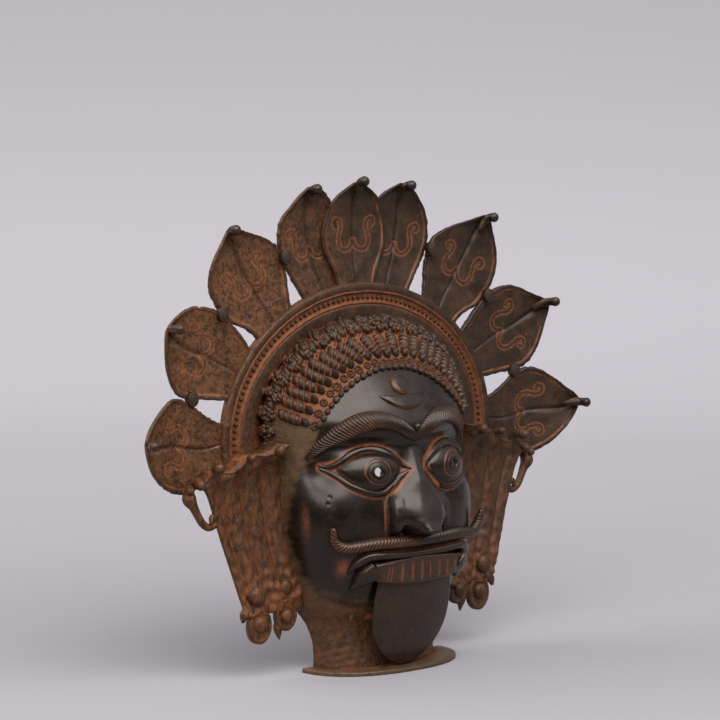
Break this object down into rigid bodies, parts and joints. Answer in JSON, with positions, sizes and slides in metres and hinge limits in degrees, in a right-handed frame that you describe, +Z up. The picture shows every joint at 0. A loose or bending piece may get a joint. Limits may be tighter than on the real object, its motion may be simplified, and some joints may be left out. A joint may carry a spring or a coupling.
{
  "type": "bhuta ritual mask",
  "caption": "Bronze spirit mask on its own foot flange: face with bulging pierced eyes, fangs, curled moustache, hanging tongue plate, pleated side panels and a crown of cobra hoods.",
  "frame": {"origin": "middle of the underside, in the plane of the foot flange's underside", "axes": "+Z up, the face looks along -Y, +X to the right as the viewer facing the mask sees it"},
  "size_m": [0.5408, 0.1256, 0.4611],
  "materials": {
    "bronze": "patinated cast bronze, polished on the face",
    "tongue_bronze": "smooth dark patinated bronze plate"
  },
  "bodies": {
    "root": {"mask": "bronze", "tongue": "tongue_bronze"}
  },
  "joints": []
}
